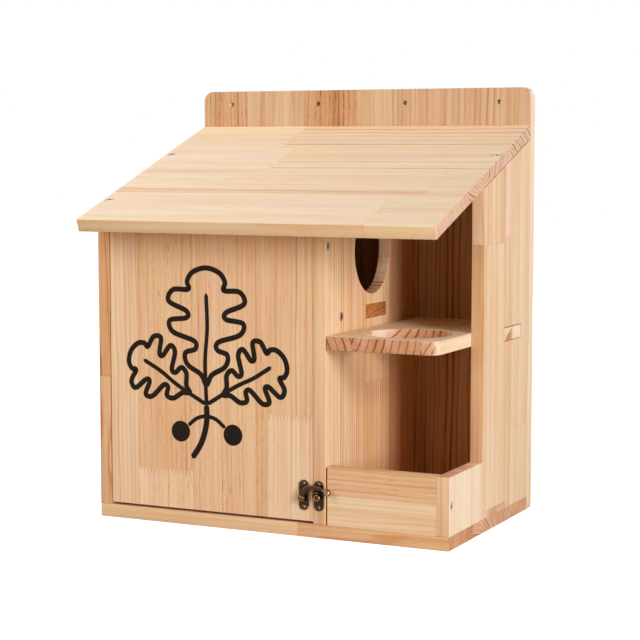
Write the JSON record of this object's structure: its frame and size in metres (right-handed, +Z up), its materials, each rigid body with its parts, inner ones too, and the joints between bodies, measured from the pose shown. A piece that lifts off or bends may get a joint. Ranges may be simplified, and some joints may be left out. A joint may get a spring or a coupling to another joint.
{
  "type": "squirrel feeder box",
  "caption": "Pine squirrel box with a sloping roof: a nest chamber behind a top-hung, latched door beside an open feeding bay with a holed shelf and a nut tray.",
  "frame": {"origin": "middle of the footprint, on the ground under the floor board", "axes": "+Z up, -Y out of the front where the door and tray are, +X to the right seen from the front, where the feeding bay is"},
  "size_m": [0.35, 0.25, 0.4],
  "materials": {
    "pine_roof": "smooth bare pine, palest board, satin",
    "pine_right": "smooth bare pine, pale, upright grain",
    "pine_divider": "smooth bare pine, light yellow, upright grain",
    "pine_door": "smooth bare pine, warm, upright strips",
    "pine_left": "smooth bare pine, warm",
    "pine_tray": "smooth bare pine, warm, level grain",
    "pine_floor": "smooth bare pine, warm, level grain",
    "pine_shelf": "smooth bare pine, end grain at the front edge",
    "pine_inner": "smooth bare pine",
    "pine_back": "smooth bare pine, tan, upright strips",
    "zinc_screw": "zinc plated, cross recess",
    "bronze_plate": "dark antique bronze",
    "bronze_arm": "dark antique bronze, rubbed bright on the edges and the ball",
    "bronze_worn": "antique bronze worn to brass"
  },
  "bodies": {
    "carcass": {"floor_board": "pine_floor", "left_wall": "pine_left", "divider_wall": "pine_divider", "right_wall": "pine_right", "back_board": "pine_back", "roof_board": "pine_roof", "nest_shelf": "pine_inner", "feeder_shelf": "pine_shelf", "tray_bottom": "pine_inner", "tray_front": "pine_tray", "roof_screw_left_front": "zinc_screw", "roof_screw_left_back": "zinc_screw", "roof_screw_right": "zinc_screw", "door_pivot_left": "zinc_screw", "door_pivot_right": "zinc_screw", "tray_screw_right": "zinc_screw", "tray_screw_left": "zinc_screw", "nest_screw_left": "zinc_screw", "nest_screw_right": "zinc_screw", "feeder_screw_front": "zinc_screw", "feeder_screw_back": "zinc_screw", "back_screw_left_low": "zinc_screw", "back_screw_left_high": "zinc_screw", "floor_screw_left_front": "zinc_screw", "floor_screw_left_back": "zinc_screw", "back_screw_middle_low": "zinc_screw", "back_screw_middle_high": "zinc_screw", "floor_screw_middle_front": "zinc_screw", "floor_screw_middle_back": "zinc_screw", "back_screw_right_low": "zinc_screw", "back_screw_right_high": "zinc_screw", "floor_screw_right_front": "zinc_screw", "floor_screw_right_back": "zinc_screw", "back_screw_floor_left": "zinc_screw", "back_screw_floor_right": "zinc_screw", "catch_plate": "bronze_plate", "catch_screw_top": "bronze_plate", "catch_screw_bottom": "bronze_plate", "catch_post": "bronze_worn"},
    "door": {"door_panel": "pine_door", "hasp_plate": "bronze_plate", "hasp_rivet": "bronze_worn", "hasp_screw_top": "bronze_plate", "hasp_screw_bottom": "bronze_plate"},
    "latch": {"latch_arm": "bronze_arm"}
  },
  "joints": [
    {"name": "door_hinge", "type": "hinge", "parent": "carcass", "child": "door", "pos_m": [-0.0585, -0.083, 0.25824], "axis": [-1, 0, 0], "range_deg": [0, 92]},
    {"name": "latch_swing", "type": "hinge", "parent": "door", "child": "latch", "pos_m": [0.0364, -0.0923, 0.0352], "axis": [0, -1, 0], "range_deg": [0, 180]}
  ]
}
